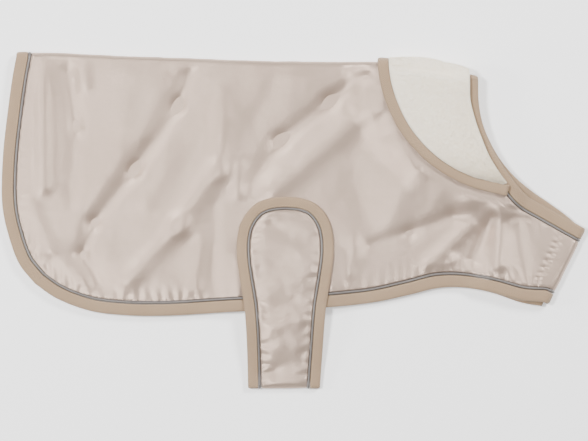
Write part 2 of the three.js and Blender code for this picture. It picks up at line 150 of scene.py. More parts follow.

# %% [markdown]
# ## Soft ridges and creases
# Satin over thin wadding lies in long soft swells. The broad ones are shared with the frame. The finer
# ones are listed, each from one place to another with its own width and height, some raised and
# some sunk, so that no two are alike.

# %% Ridges
BROAD = [  # from x, y, to x, y, half width, height
    (-257, 160, -256, 35, 9, 2.0), (-172, 150, -176, 100, 26, 1.5), (-73, 129, -75, 52, 12, 1.6),
    (-80, 50, -118, -5, 12, 1.9), (-118, -5, -170, -62, 11, 1.8), (80, 118, -20, 32, 13, 1.9),
    (110, 34, 140, 20, 25, 1.4), (139, -46, 183, -4, 8, 1.7), (211, 12, 211, -45, 8, 1.8),
    (60, -24, 52, -52, 11, 1.6),
]
CREASES = [  # the same columns; a height below zero is a trough
    (-232, 170, -222, 95, 8, -1.3), (-222, 95, -226, 20, 9, -0.8), (-216, 160, -213, 140, 7, 0.9),
    (-100, 165, -118, 118, 8, -1.3), (-118, 118, -163, 52, 8, -1.5), (-163, 52, -204, -2, 8, -1.4),
    (-204, -2, -216, -36, 7, -1.2), (-216, -36, -199, -66, 7, -1.0), (-55, 57, -56, 30, 8, 1.0),
    (75, 150, 38, 122, 8, -1.3), (38, 122, -13, 82, 9, -1.4), (-13, 82, -44, 36, 9, -1.2),
    (-130, 60, -150, 20, 14, 0.8), (-185, 60, -235, -20, 18, 0.9), (80, -26, 120, -13, 8, -1.1),
    (120, -13, 163, 4, 7, -1.0), (185, -40, 205, 2, 6, -1.3), (163, -40, 150, -58, 6, 0.9),
    (230, -10, 238, -55, 8, -0.7), (77, 149, 84, 120, 6, -0.9), (91, 105, 96, 88, 7, -0.8),
    (43, -73, 57, -54, 4, 1.2), (-75, 10, -82, -60, 14, -0.7), (-92, -20, -100, -70, 10, 0.7),
    (10, 150, -60, 110, 22, 0.8), (130, 60, 100, 5, 16, 0.9), (60, 60, 75, 0, 16, -0.6),
    (-20, 140, -40, 100, 12, -0.6), (-270, 20, -250, -30, 9, 0.9), (-250, -30, -215, -60, 10, 0.8),
    (-190, -40, -120, -70, 16, 0.6), (-140, 130, -150, 90, 12, 0.6), (180, 20, 200, 30, 9, 0.6),
]
print(len(BROAD), "broad swells,", len(CREASES), "creases")

# %% [markdown]
# Cloth is never quite even. A small table of random values, the same on every run, is blended smoothly
# into a noise, and a swell is the sum of soft bell shapes along straight lines.

# %% Noise and distances
LATTICE_SIZE = 128
RNG = np.random.default_rng(7)
LATTICE = RNG.random((3, LATTICE_SIZE, LATTICE_SIZE)) * 2 - 1


def clamp01(v):
    return np.clip(v, 0.0, 1.0)


def smooth(v):
    v = clamp01(v)
    return v * v * (3 - 2 * v)


def noise(x, y, size, layer=0):
    """Smooth values from -1 to 1 that change over about size millimetres."""
    u, v = np.asarray(x) / size + LATTICE_SIZE / 2, np.asarray(y) / size + LATTICE_SIZE / 2
    i, j = np.floor(u).astype(int), np.floor(v).astype(int)
    a, b = smooth(u - i), smooth(v - j)
    g = LATTICE[layer]
    corners = ((0, 0), (1, 0), (0, 1), (1, 1))
    p, q, r, s = (g[(i + m) % LATTICE_SIZE, (j + n) % LATTICE_SIZE] for m, n in corners)
    return (p * (1 - a) + q * a) * (1 - b) + (r * (1 - a) + s * a) * b


def to_segment(x, y, ax, ay, bx, by):
    dx, dy = bx - ax, by - ay
    along = clamp01(((x - ax) * dx + (y - ay) * dy) / (dx**2 + dy**2 + 1e-9))
    return np.hypot(x - ax - along * dx, y - ay - along * dy)


def swell(x, y, rows):
    return sum(h * np.exp(-((to_segment(x, y, ax, ay, bx, by) / w) ** 2)) for ax, ay, bx, by, w, h in rows)


def to_polyline(x, y, points):
    best = np.full(np.shape(x), 1e9)
    for a, b in zip(points[:-1], points[1:]):
        best = np.minimum(best, to_segment(x, y, a[0], a[1], b[0], b[1]))
    return best


print("noise runs from", round(float(LATTICE.min()), 2), "to", round(float(LATTICE.max()), 2))

# %% [markdown]
# ## Folding the flat cloth
# place() takes a point of the flat cloth to where it lies. Near the spine it runs round a small roll,
# the far half lies below, and the near half lies above and folds once more at the chest.

# %% The fold
def fold_y(x):
    """Where the flat cloth starts to turn into the spine fold."""
    spine_y = np.interp(np.minimum(x, NAPE_X), SPINE.points[:, 0], SPINE.points[:, 1])
    return spine_y - SPINE_RADIUS - WALL / 2


FOLD_LOW, FOLD_HIGH = HEM[1].at(1.0), NECKLINE[1].at(1.0)
FOLD_ALONG = (FOLD_HIGH - FOLD_LOW) / np.linalg.norm(FOLD_HIGH - FOLD_LOW)
FOLD_OUT = np.array([FOLD_ALONG[1], -FOLD_ALONG[0]])
THROAT_SHARE = 0.56  # how much of the neckline lies under the collar
FREE_MARKS = COLLAR_FREE.at(np.linspace(0, 1, 30))
NECK_MARKS = NECKLINE[1].at(np.linspace(0, THROAT_SHARE, 16))


def beyond_chest(x, y):
    return (x - FOLD_HIGH[0]) * FOLD_OUT[0] + (y - FOLD_HIGH[1]) * FOLD_OUT[1]


def under_collar(x, y):
    ring = np.vstack([FREE_MARKS, NECK_MARKS[::-1]])
    inside = np.zeros(np.shape(x), bool)
    for (ax, ay), (bx, by) in zip(ring, np.roll(ring, -1, axis=0)):
        crosses = (ay > y) != (by > y)
        inside ^= crosses & (x < (bx - ax) * (y - ay) / (by - ay + 1e-12) + ax)
    return inside


def collar_lift(x, y):
    away = np.minimum(to_polyline(x, y, FREE_MARKS), to_polyline(x, y, NECK_MARKS))
    return np.where(under_collar(x, y), 1.0, 1 - smooth((away - COLLAR_PLATEAU) / COLLAR_SLOPE))


def far_z(x, y):
    back = smooth((beyond_chest(x, y) - RETURN_CLIMB_FROM) / RETURN_CLIMB)
    return WALL / 2 + np.maximum((PLUSH + LAY_GAP) * collar_lift(x, y), PITCH * back)


def near_extras(x, y):
    spring = SPINE_SPRING * (1 - smooth((fold_y(x) - y) / SPINE_REACH))
    aside = np.abs(x - STRAP_MIDDLE) - ROOT_HALF_WIDTH
    away = np.maximum(np.maximum(aside, y - (STRAP_ROOT + 3)), 0)
    strap = (STRAP_WALL + LAY_GAP) * (1 - smooth(away / ROOT_CLIMB))
    calm = 1 - smooth((beyond_chest(x, y) - CHEST_CALM_FROM) / CHEST_CALM)
    near_collar = smooth((x - COLLAR_CALM_FROM) / COLLAR_CALM) * smooth(collar_lift(x, y))
    free = smooth((fold_y(x) - y) / 20) * (1 - near_collar)
    raised = np.maximum(spring, np.minimum(swell(x, y, BROAD), 2.4)) * free
    return np.maximum(np.maximum(spring, strap), raised) * calm


def near_z(x, y):
    return far_z(x, y) + PITCH + near_extras(x, y)


def place(x, s, h):
    x, s, h = np.broadcast_arrays(np.asarray(x, float), s, h)
    edge = fold_y(x)
    y = edge - (np.abs(s) - QUARTER)
    past = beyond_chest(x, y) - CHEST_CENTRE
    turned = np.clip(past, 0, CHEST_TURN)
    angle = turned / CHEST_RADIUS
    out = (CHEST_RADIUS + h) * np.sin(angle) - (past - turned) - past
    chest_z = WALL / 2 + CHEST_RADIUS + (CHEST_RADIUS + h) * np.cos(angle)
    folded = (past > 0) & (s > 0)
    turn = s / SPINE_RADIUS
    roll = np.abs(s) < QUARTER
    px = np.where(folded & ~roll, x + FOLD_OUT[0] * out, x)
    py = np.where(folded & ~roll, y + FOLD_OUT[1] * out, y)
    pz = np.where(s > 0, near_z(x, y) + h, far_z(x, y) - h)
    pz = np.where(folded, chest_z, pz)
    reach = SPINE_RADIUS + h
    py = np.where(roll, edge + reach * np.cos(turn), py)
    pz = np.where(roll, far_z(x, edge) + SPINE_RADIUS + reach * np.sin(turn), pz)
    return np.stack([px, py, pz], -1)


print("the near half lies at", round(float(near_z(np.array([-150.0]), np.array([0.0]))[0]), 1), "mm")

# %% [markdown]
# ## Meshes
# Two makers do for every piece of cloth: a wall over a grid of cells, and a strip of a given section
# along an edge. Both keep the flat cloth's coordinates as a UV map, so weaves can follow the thread.

# %% Points and faces into an object
def make_mesh(name, points, faces, flat, material):
    mesh = bpy.data.meshes.new(name)
    points = np.array(points, float).reshape(-1, 3) * MM
    points[:, 2] = np.maximum(points[:, 2], 0.0)  # nothing reaches through the surface it lies on
    mesh.from_pydata([tuple(p) for p in points], [], [tuple(int(i) for i in f) for f in faces])
    mesh.validate()
    uv = mesh.uv_layers.new(name="cloth")
    loops = np.zeros(len(mesh.loops), np.int32)
    mesh.loops.foreach_get("vertex_index", loops)
    uv.data.foreach_set("uv", np.asarray(flat, np.float32).reshape(-1, 2)[loops].ravel())
    mesh.polygons.foreach_set("use_smooth", np.ones(len(mesh.polygons), bool))
    mesh.materials.append(material)
    thing = bpy.data.objects.new(name, mesh)
    bpy.context.scene.collection.objects.link(thing)
    if signed_volume(points, faces) < 0:
        mesh.flip_normals()
    print(name, len(mesh.polygons), "faces")
    return thing


def signed_volume(points, faces):
    """Below zero where the faces point inwards."""
    halves = [(q[0], q[1], q[2]) for q in faces] + [(q[0], q[2], q[3]) for q in faces if len(q) == 4]
    a, b, c = (points[np.array(halves)[:, k]] for k in range(3))
    return (a * np.cross(b, c)).sum()

# %% [markdown]
# A wall is a piece of cloth with two faces: an outer grid, an inner grid, and a rim wherever a cell has
# no neighbour. Leaving cells out gives the pattern its shape with no cutting of finished meshes.

# %% A wall of cloth
def wall(name, outer, inner, has, flat, material):
    """A closed wall between two faces over the same grid; has marks the cells that are there."""
    columns, rows = has.shape
    ids = np.arange((columns + 1) * (rows + 1)).reshape(columns + 1, rows + 1)
    shift = ids.size
    a, b, c, d = ids[:-1, :-1][has], ids[1:, :-1][has], ids[1:, 1:][has], ids[:-1, 1:][has]
    faces = [np.stack([a, b, c, d], 1), np.stack([d, c, b, a], 1) + shift]
    padded = np.pad(has, 1)
    for di, dj, p, q in ((0, -1, (0, 0), (1, 0)), (1, 0, (1, 0), (1, 1)), (0, 1, (1, 1), (0, 1)),
                         (-1, 0, (0, 1), (0, 0))):
        rim = has & ~padded[1 + di:1 + di + columns, 1 + dj:1 + dj + rows]
        i, j = np.nonzero(rim)
        t0, t1 = ids[i + p[0], j + p[1]], ids[i + q[0], j + q[1]]
        faces.append(np.stack([t1, t0, t0 + shift, t1 + shift], 1))
    faces = np.vstack(faces)
    points = np.vstack([outer.reshape(-1, 3), inner.reshape(-1, 3)])
    flats = np.vstack([flat.reshape(-1, 2)] * 2)
    used, faces = np.unique(faces, return_inverse=True)
    return make_mesh(name, points[used], faces.reshape(-1, 4), flats[used], material)

# %% [markdown]
# A tape follows the edge of the pattern. Its inner edge is the outline moved inwards, and near a sharp
# corner the inner edge has less room, so its stations draw in towards the mitre.

# %% Strips along an edge
CORNER = 40.0  # cloth over which an inner edge draws in towards a sharp corner
SHARP_TURN = 0.6  # sine of the least turn that counts as a corner


def rails(path, closed):
    """For each station of a path, the direction inward, with sharp corners mitred."""
    before, after = np.roll(path, 1, 0), np.roll(path, -1, 0)
    if not closed:
        before[0], after[-1] = 2 * path[0] - path[1], 2 * path[-1] - path[-2]
    first, second = path - before, after - path
    first /= np.linalg.norm(first, axis=1)[:, None] + 1e-12
    second /= np.linalg.norm(second, axis=1)[:, None] + 1e-12
    total = first + second
    scale = 2 / (total**2).sum(1)
    inward = np.stack([-total[:, 1], total[:, 0]], 1) * scale[:, None]
    turn = first[:, 0] * second[:, 1] - first[:, 1] * second[:, 0]
    steps = np.linalg.norm(after - path, axis=1)
    for k in np.nonzero(turn > SHARP_TURN)[0]:
        tangent = math.tan(math.asin(min(1.0, turn[k])) / 2) if turn[k] < 0.999 else 1.0
        for way in (-1, 1):
            away, m = 0.0, k
            for _ in range(80):
                away += steps[(m - 1) % len(path)] if way < 0 else steps[m % len(path)]
                m += way
                if away > CORNER:
                    break
                direction = second[m % len(path)]
                inward[m % len(path)] += way * direction * tangent * (1 - away / CORNER)
    return inward


def strip(name, path, closed, section, mapping, material, waver=0.0):
    """section holds (across, up) pairs; the strip wavers up by a little as sewn tape does."""
    inward = rails(path, closed)
    count, sides = len(path), len(section)
    along = np.concatenate([[0], np.cumsum(np.linalg.norm(np.diff(path, axis=0), axis=1))])
    points = np.zeros((count, sides, 3))
    flat = np.zeros((count, sides, 2))
    for m, (across, up) in enumerate(section):
        lift = up + waver * noise(along, along * 0 + 9 * m, 9.0, 1) * (up > 0)
        at = path + inward * across
        points[:, m] = mapping(at[:, 0], at[:, 1], lift)
        flat[:, m] = np.stack([along, np.full(count, across)], 1)
    faces = []
    for k in range(count if closed else count - 1):
        n = (k + 1) % count
        for m in range(sides):
            m2 = (m + 1) % sides
            faces.append((k * sides + m, k * sides + m2, n * sides + m2, n * sides + m))
    if not closed:
        for k in (0, count - 1):
            ring = [k * sides + m for m in range(sides)]
            centre = len(points.reshape(-1, 3)) + (0 if k == 0 else 1)
            for m in range(sides):
                pair = (ring[m], ring[(m + 1) % sides], centre)
                faces.append(pair if k else pair[::-1])
        middle = points[[0, -1]].mean(1)
        points = np.vstack([points.reshape(-1, 3), middle])
        flat = np.vstack([flat.reshape(-1, 2), flat[[0, -1], 0]])
    return make_mesh(name, points, faces, flat, material)


def tape_section(width, low, high):
    """A folded tape: round where it wraps the edge, a little crowned on top."""
    return [(0.0, (low + high) / 2), (0.25, low + 0.7), (0.9, low + 0.1), (width / 2, low), (width, low),
            (width, high - 0.4), (width - 0.5, high - 0.05), (width * 0.75, high + 0.15),
            (width / 2, high + 0.25), (width * 0.25, high + 0.15), (1.1, high - 0.25), (0.3, high - 0.9)]


def cord_section(start, width, middle, radius, sides=10):
    turn = [2 * math.pi * k / sides for k in range(sides)]
    return [(start + width / 2 + radius * math.cos(t), middle + radius * math.sin(t)) for t in turn]


print("a tape's section has", len(tape_section(BINDING_WIDTH, -WALL / 2, WALL / 2)), "corners")

# %% [markdown]
# ## Shader arithmetic
# A small class wraps a socket, so that colours and bumps read as ordinary expressions.

# %% Wire
class Wire:
    """A socket that adds its own Math nodes when it meets an operator."""

    def __init__(self, tree, socket):
        self.tree, self.socket = tree, socket

    def _math(self, operation, *others, swap=False):
        values = [self, *others]
        if swap:
            values = values[::-1]
        return self.tree.node("ShaderNodeMath", {"operation": operation}, values)

    def __add__(self, other):
        return self._math("ADD", other)

    def __sub__(self, other):
        return self._math("SUBTRACT", other)

    def __rsub__(self, other):
        return self._math("SUBTRACT", other, swap=True)

    def __mul__(self, other):
        return self._math("MULTIPLY", other)

    __radd__ = __add__
    __rmul__ = __mul__

    def sin(self):
        return self._math("SINE")

    def abs(self):
        return self._math("ABSOLUTE")

    def fract(self):
        return self._math("FRACT")

    def clamp(self):
        return self.tree.node("ShaderNodeClamp", {}, [self])

    def beside(self, output):
        """Another output of the node that this one comes from."""
        return Wire(self.tree, self.socket.node.outputs[output])


print("a wire also offers:", [name for name in vars(Wire) if not name.startswith("_")])

# %% [markdown]
# A finish could be wired by hand in the shader editor. Written as code, each one is a few lines, and one
# method adds every node that is not plain arithmetic.

# %% Finish
class Finish:
    """A material with its Principled shader, and one method that adds any other node."""

    def __init__(self, name, **constants):
        self.material = bpy.data.materials.new(name)
        self.material.use_nodes = True
        self.nodes, self.links = self.material.node_tree.nodes, self.material.node_tree.links
        self.shader = self.nodes["Principled BSDF"]
        for key, value in constants.items():
            self.shader.inputs[key.replace("_", " ")].default_value = value

    def node(self, kind, settings, values, output=0):
        node = self.nodes.new(kind)
        for key, value in settings.items():
            setattr(node, key, value)
        pairs = values.items() if isinstance(values, dict) else enumerate(values)
        for key, value in pairs:
            if isinstance(value, Wire):
                self.links.new(value.socket, node.inputs[key])
            else:
                node.inputs[key].default_value = value
        return Wire(self, node.outputs[output])

    def mix(self, share, a, b):
        """A colour between a and b; a colour's sockets on this node are 6 and 7, and its output is 2."""
        return self.node("ShaderNodeMix", {"data_type": "RGBA"}, {0: share, 6: a, 7: b}, output=2)

    def noise(self, scale, detail=3.0):
        at = self.node("ShaderNodeTexCoord", {}, {}, output=3)
        return self.node("ShaderNodeTexNoise", {}, {"Vector": at, "Scale": scale, "Detail": detail})

    def cloth(self):
        """The flat cloth's two coordinates, in millimetres."""
        flat = self.node("ShaderNodeUVMap", {"uv_map": "cloth"}, {})
        along = self.node("ShaderNodeSeparateXYZ", {}, [flat])
        return along, along.beside(1)

    def feed(self, name, wire):
        self.links.new(wire.socket, self.shader.inputs[name])

    def bump(self, height, distance, strength=1.0):
        self.feed("Normal", self.node("ShaderNodeBump", {}, {
            "Strength": strength, "Distance": distance, "Height": height}))


def rgb(*levels):
    """A colour as seen on a screen, each level from 11 to 255, as the shader's linear values."""
    return tuple(((level / 255 + 0.055) / 1.055) ** 2.4 for level in levels) + (1.0,)


print("mid satin in linear light:", [round(v, 2) for v in rgb(206, 184, 168)])

# %% [markdown]
# ## Finishes
# Satin shines because its long floats lie side by side, so it has a low roughness and a fine thread
# bump. The tape is a matt herringbone, the cord a smooth grey, and the collar a deep matt pile.

# %% Satin
SATIN_THREAD = 0.55  # spacing in millimetres


def satin():
    f = Finish("satin", Roughness=0.33, Metallic=0.7, Sheen_Weight=0.15, Sheen_Roughness=0.4)
    f.shader.inputs["Sheen Tint"].default_value = rgb(255, 240, 228)
    x, s = f.cloth()
    drift = f.noise(14.0, 4.0)
    fine = f.noise(900.0, 2.0)
    colour = f.mix(drift * 0.9, rgb(188, 164, 147), rgb(206, 184, 168))
    thread = ((s + x * 0.18) * (2 * math.pi / SATIN_THREAD)).sin() * 0.5 + 0.5
    f.feed("Base Color", f.mix(thread * 0.12 + fine * 0.12, colour, rgb(168, 145, 128)))
    f.feed("Roughness", drift * 0.12 + fine * 0.08 + 0.3)
    f.bump(thread * 0.35 + fine * 0.5 + f.noise(180.0, 3.0) * 0.9, 0.00035, 0.55)
    return f.material


SATIN = satin()
print("satin:", len(SATIN.node_tree.nodes), "nodes")

# %% [markdown]
# The tape is cotton herringbone: rows of slanting twill that turn back every few threads. A folded
# distance across the tape gives the turns, and a sine along it gives the slanting ribs.

# %% Tape
TWILL = 1.9  # spacing in millimetres


def tape():
    f = Finish("tape", Roughness=0.85, Sheen_Weight=0.3)
    x, across = f.cloth()
    chevron = ((across * 0.25).fract() - 0.5).abs() * 4
    twill = ((x + chevron) * (2 * math.pi / TWILL)).sin() * 0.5 + 0.5
    grain = f.noise(700.0, 3.0)
    base = f.mix(f.noise(30.0) * 0.8, rgb(176, 149, 119), rgb(194, 168, 138))
    f.feed("Base Color", f.mix((twill * 0.6 + grain * 0.35).clamp(), rgb(118, 94, 70), base))
    f.bump(twill * 0.8 + grain * 0.5, 0.0003, 0.8)
    return f.material


TAPE = tape()
print("tape:", len(TAPE.node_tree.nodes), "nodes")

# %% [markdown]
# The piping is a cord wrapped in a smooth grey reflective cloth, so it shines a little and shows a fine
# slanting wrap. The plush is a deep matt pile: its colour varies in clumps, and a sheen lights its edges.

# %% Cord, pile and thread
def cord():
    f = Finish("cord", Roughness=0.42, Metallic=0.15, Specular_IOR_Level=0.6)
    x, around = f.cloth()
    wrap = ((x + around * 0.6) * (2 * math.pi / 1.3)).sin() * 0.5 + 0.5
    f.feed("Base Color", f.mix(wrap * 0.35 + f.noise(500.0) * 0.3, rgb(118, 112, 108), rgb(78, 73, 70)))
    f.bump(wrap, 0.00015, 0.5)
    return f.material


def plush():
    f = Finish("plush", Roughness=0.95, Sheen_Weight=0.6, Sheen_Roughness=0.5)
    tufts = f.noise(230.0, 4.0)
    shade = f.noise(26.0, 3.0)
    colour = f.mix(shade * 0.8, rgb(232, 214, 176), rgb(250, 238, 214))
    f.feed("Base Color", f.mix((tufts * 0.55).clamp(), rgb(253, 245, 230), colour))
    f.bump(tufts + f.noise(900.0, 2.0) * 0.6, 0.0012, 0.7)
    return f.material


def thread():
    f = Finish("thread", Roughness=0.6)
    f.feed("Base Color", f.mix(f.noise(900.0), rgb(170, 142, 110), rgb(200, 176, 146)))
    return f.material


CORD, PILE, THREAD = cord(), plush(), thread()
print("finishes:", [m.name for m in (SATIN, TAPE, CORD, PILE, THREAD)])

# %% [markdown]
# ## The edge of the pattern
# The tape and the cord run once round the whole flat pattern. The path is the same for both, and for the
# cloth inside them, so the seams meet everywhere.

# %% Edge stations
SPINE_CELLS, NECK_CELLS, SIDE_CELLS = 170, 60, 76
FOLD_CELLS, TURN_CELLS, RETURN_CELLS, END_CELLS = 14, 12, 14, 16


def flat_of(points, side):
    return np.stack([points[:, 0], side * (fold_y(points[:, 0]) - points[:, 1] + QUARTER)], 1)


def pushed(point, distance):
    return np.stack([point[0] + FOLD_OUT[0] * distance, point[1] - FOLD_OUT[1] * distance], -1)


def share_before_fold(line, side):
    """How much of an edge runs before the cloth starts round the chest fold."""
    if side < 0:
        return 1.0
    shares = np.linspace(0, 1, 400)
    marks = line.at(shares)
    return np.interp(CHEST_CENTRE, beyond_chest(marks[:, 0], marks[:, 1])[200:], shares[200:])


def half(side):
    neck_share = share_before_fold(NECKLINE[side], side)
    neck = flat_of(NECKLINE[side].at(np.linspace(0, neck_share, NECK_CELLS + 1)), side)
    neck[0] = (NAPE_X, side * QUARTER)
    tail = flat_of(TAIL_EDGE.at(np.linspace(0, 1, SIDE_CELLS + 1) ** 1.35), side)
    tail[-1] = (TAIL_X, side * QUARTER)
    hem = HEM[side]
    split = np.interp(HEM_SPLIT, hem.points[:, 0], hem.along / hem.length)
    end = share_before_fold(hem, side)
    shares = np.concatenate([np.linspace(0, split, SPINE_CELLS + 1),
                             np.linspace(split, end, NECK_CELLS + 1)[1:]])
    return {"neck": neck, "tail": tail, "hem": flat_of(hem.at(shares), side)}


def round_fold(x, turn_down):
    """Stations round the spine fold, towards the far half or back."""
    s = QUARTER - 2 * QUARTER * np.arange(1, FOLD_CELLS) / FOLD_CELLS
    return np.stack([np.full(FOLD_CELLS - 1, x), s if turn_down else -s], 1)


near, far = half(1), half(-1)
print("stations on a half's hem:", len(near["hem"]))

# %% [markdown]
# The near flap goes on past the chest fold. The stretches are then put end to end, once round the whole
# pattern, and the seam is the same path moved inwards by the width of the tape and the cord.

# %% The whole edge and its seam
RETURN_STEPS = np.concatenate([CHEST_TURN * np.arange(1, TURN_CELLS + 1) / TURN_CELLS,
                               CHEST_TURN + CHEST_RETURN * np.arange(1, RETURN_CELLS + 1) / RETURN_CELLS])
neck_return = np.array([pushed(near["neck"][-1], d) for d in RETURN_STEPS])
hem_return = np.array([pushed(near["hem"][-1], d) for d in RETURN_STEPS])


def between(a, b, cells):
    return a + (b - a) * (np.arange(1, cells) / cells)[:, None]


stretches = {
    "neck_near": near["neck"], "neck_return": neck_return,
    "return_end": between(neck_return[-1], hem_return[-1], END_CELLS), "hem_return": hem_return[::-1],
    "hem_near": near["hem"][::-1], "tail_near": near["tail"][1:], "tail_turn": round_fold(TAIL_X, True),
    "tail_far": far["tail"][::-1][:-1], "hem_far": far["hem"],
    "far_end": between(far["hem"][-1], far["neck"][-1], END_CELLS), "neck_far": far["neck"][::-1],
    "nape": round_fold(NAPE_X, False),
}
EDGE = np.vstack(list(stretches.values()))
EDGE_INWARD = rails(EDGE, True)
rim, cursor = {}, 0
for key, rows in stretches.items():
    rim[key] = rows + EDGE_INWARD[cursor:cursor + len(rows)] * SHELL_INSET
    cursor += len(rows)
print("edge of the pattern:", round(float(np.linalg.norm(np.diff(EDGE, axis=0), axis=1).sum())), "mm")

# %% [markdown]
# ## The body shell
# Each half is filled between its four edges, as a Coons patch, and the two are joined round the spine.
# The outer face then gets its creases, dying away to nothing at the seam, where small puckers begin.

# %% Fill each half
def patch(hem, tail, top):
    columns, rows = len(hem) - 1, len(tail) - 1
    u, v = np.linspace(0, 1, columns + 1)[:, None, None], np.linspace(0, 1, rows + 1)[None, :, None]
    right = hem[-1] + (top[-1] - hem[-1]) * v
    ruled = hem[:, None] * (1 - v) + top[:, None] * v
    side = tail[None] * (1 - u) + right * u
    corner = (hem[0] * (1 - u) + hem[-1] * u) * (1 - v) + (top[0] * (1 - u) + top[-1] * u) * v
    return ruled + side - corner


def spine_row(side):
    x = np.linspace(TAIL_X + SHELL_INSET, NAPE_X - SHELL_INSET, SPINE_CELLS + 1)
    return np.stack([x, np.full(SPINE_CELLS + 1, side * QUARTER)], 1)


near_hem = rim["hem_near"][::-1]
near_patch = patch(near_hem, np.vstack([near_hem[:1], rim["tail_near"]]),
                   np.vstack([spine_row(1), rim["neck_near"][1:]]))
far_patch = patch(rim["hem_far"], np.vstack([rim["hem_far"][:1], rim["tail_far"][::-1]]),
                  np.vstack([spine_row(-1), rim["neck_far"][::-1][1:]]))
print("patch:", near_patch.shape)

# %% [markdown]
# The near half, the spine fold and the far half are one cloth, so they share one grid. The cells beyond
# the nape are left out of the fold, which is how the neck stays open.

# %% One grid for the whole cloth
COLUMNS, EXTRA = SPINE_CELLS + NECK_CELLS, len(RETURN_STEPS)
ROWS = 2 * SIDE_CELLS + FOLD_CELLS
grid = np.zeros((COLUMNS + EXTRA + 1, ROWS + 1, 2))
grid[:COLUMNS + 1, :SIDE_CELLS + 1] = near_patch
grid[:COLUMNS + 1, SIDE_CELLS + FOLD_CELLS:] = far_patch[:, ::-1]
for k in range(1, FOLD_CELLS):
    grid[:SPINE_CELLS + 1, SIDE_CELLS + k, 0] = near_patch[:SPINE_CELLS + 1, -1, 0]
    grid[:SPINE_CELLS + 1, SIDE_CELLS + k, 1] = QUARTER - 2 * QUARTER * k / FOLD_CELLS
share = np.linspace(0, 1, SIDE_CELLS + 1)[None, :, None]
grid[COLUMNS + 1:, :SIDE_CELLS + 1] = (rim["hem_return"][::-1][:, None] * (1 - share)
                                       + rim["neck_return"][:, None] * share)
cells = np.zeros((COLUMNS + EXTRA, ROWS), bool)
cells[:, :SIDE_CELLS] = True
cells[:SPINE_CELLS, SIDE_CELLS:SIDE_CELLS + FOLD_CELLS] = True
cells[:COLUMNS, SIDE_CELLS + FOLD_CELLS:] = True
print(int(cells.sum()), "cells of cloth")

# %% [markdown]
# Folds could come from a cloth simulation, but then they would fall in other places, so they are placed
# one by one. They die away at the seam, at the spine and at the chest, and hide under the strap. Short
# uneven gathers run in from the seam, and the closure's stitching pulls a row of dents beside the chest
# fold.

# %% Distance to the seam, and gathers
SEAM_SAMPLING = 3
gx, gs = grid[..., 0], grid[..., 1]
gy = fold_y(gx) - (np.abs(gs) - QUARTER)
seam = np.vstack(list(rim.values()))
to_seam = np.full(gx.shape, 1e9)
for mark in seam[::SEAM_SAMPLING]:
    to_seam = np.minimum(to_seam, np.hypot(gx - mark[0], gs - mark[1]))
print("the cloth reaches", round(float(to_seam[:-1, :-1][cells].max())), "mm from its seam")


def puckers(x, s, away):
    """Short gathers that run in from the seam, uneven in spacing and depth."""
    wave = np.sin((x + 9 * noise(x, s, 45.0, 2)) * 2 * math.pi / 11.5)
    return 0.75 * wave * np.exp(-((away - 5) / 8) ** 2) * (0.55 + 0.45 * noise(x, s, 30.0, 1))


# %% [markdown]
# The folds are added up once for the whole grid. Each factor between 0 and 1 calms them in one place:
# chest, spine, strap. The far half is pressed flat from above, so its own are never raised.

# %% Relief of the shell
STRAP_COVER, COVER_EDGE = 62.0, 12.0  # half width of the shell that the strap hides
beside_strap = np.maximum(np.abs(gx - STRAP_MIDDLE) - STRAP_COVER, 0) / COVER_EDGE
hide_strap = 1 - smooth(1 - beside_strap) * (gy < 20) * (gs > 0)
calm = 1 - smooth((beyond_chest(gx, gy) + 22) / 16)
spine_calm = smooth((fold_y(gx) - gy) / 12)
mirrored = swell(gx, gy, CREASES) * np.where(gs > 0, 1.0, 0.6)
broad = np.minimum(swell(gx, gy, BROAD), 2.6)
relief = (2.3 * mirrored + 1.1 * broad) * calm * spine_calm * hide_strap
CLOSURE_AT, CLOSURE_WIDTH = -21.0, 2.6
closure = (beyond_chest(gx, gy) - CLOSURE_AT) / CLOSURE_WIDTH
along_fold = (gx - FOLD_HIGH[0]) * FOLD_ALONG[0] + (gy - FOLD_HIGH[1]) * FOLD_ALONG[1]
sewn = np.exp(-closure**2) * smooth((gs - QUARTER) / 5) * smooth((to_seam - 3) / 8)
along_hem = np.where(gy < 0, gx, 0.0) + np.where(gy >= 0, gs, 0.0)
relief = relief * smooth((to_seam - 1) / 9) + puckers(along_hem, gs, to_seam) * calm
relief += 0.22 * noise(gx, gs, 16.0, 0) * smooth(to_seam / 8)
relief += 0.1 * noise(gx, gs, 6.0, 1) * smooth(to_seam / 6)
relief -= 0.9 * (1 - smooth(to_seam / 3.0))
relief += sewn * (0.8 * np.sin(along_fold * 2 * math.pi / 6.5 + 2 * noise(gx, gs, 14.0, 2)) - 0.6)
under = collar_lift(gx, gy)
relief = np.where(under > 0.97, np.minimum(relief, 0.4), relief)
relief = np.where(gs < -QUARTER, np.minimum(relief, 0.0), relief)
print("relief from", round(float(relief.min()), 2), "to", round(float(relief.max()), 2), "mm")

# %% [markdown]
# With the relief on its outer face, the flat cloth is folded into place and becomes one closed wall.

# %% The shell itself
outer = place(gx, gs, WALL / 2 + relief)
inner = place(gx, gs, np.full(gx.shape, -WALL / 2))
shell = wall("body_shell_cloth", outer, inner, cells, grid, SATIN)

# %% [markdown]
# ## Tape and cord all round
# The tape is folded over the cloth's edge, so its outer side is a soft roll. The cord stands a little
# proud in the seam between the tape and the satin, as a thin grey line.

# %% Binding and piping
binding = strip("edge_binding_tape", EDGE, True, tape_section(BINDING_WIDTH, -WALL / 2, WALL / 2),
                place, TAPE, 0.25)
piping = strip("edge_piping_cord", EDGE, True,
               cord_section(BINDING_WIDTH + GAP, PIPING_WIDTH, 0.7, 1.42), place, CORD, 0.2)

# %% [markdown]
# A line of stitching holds the tape down. Each stitch is a short bar of thread, thick in the middle and
# sunk at its ends, and one mesh holds all of them.

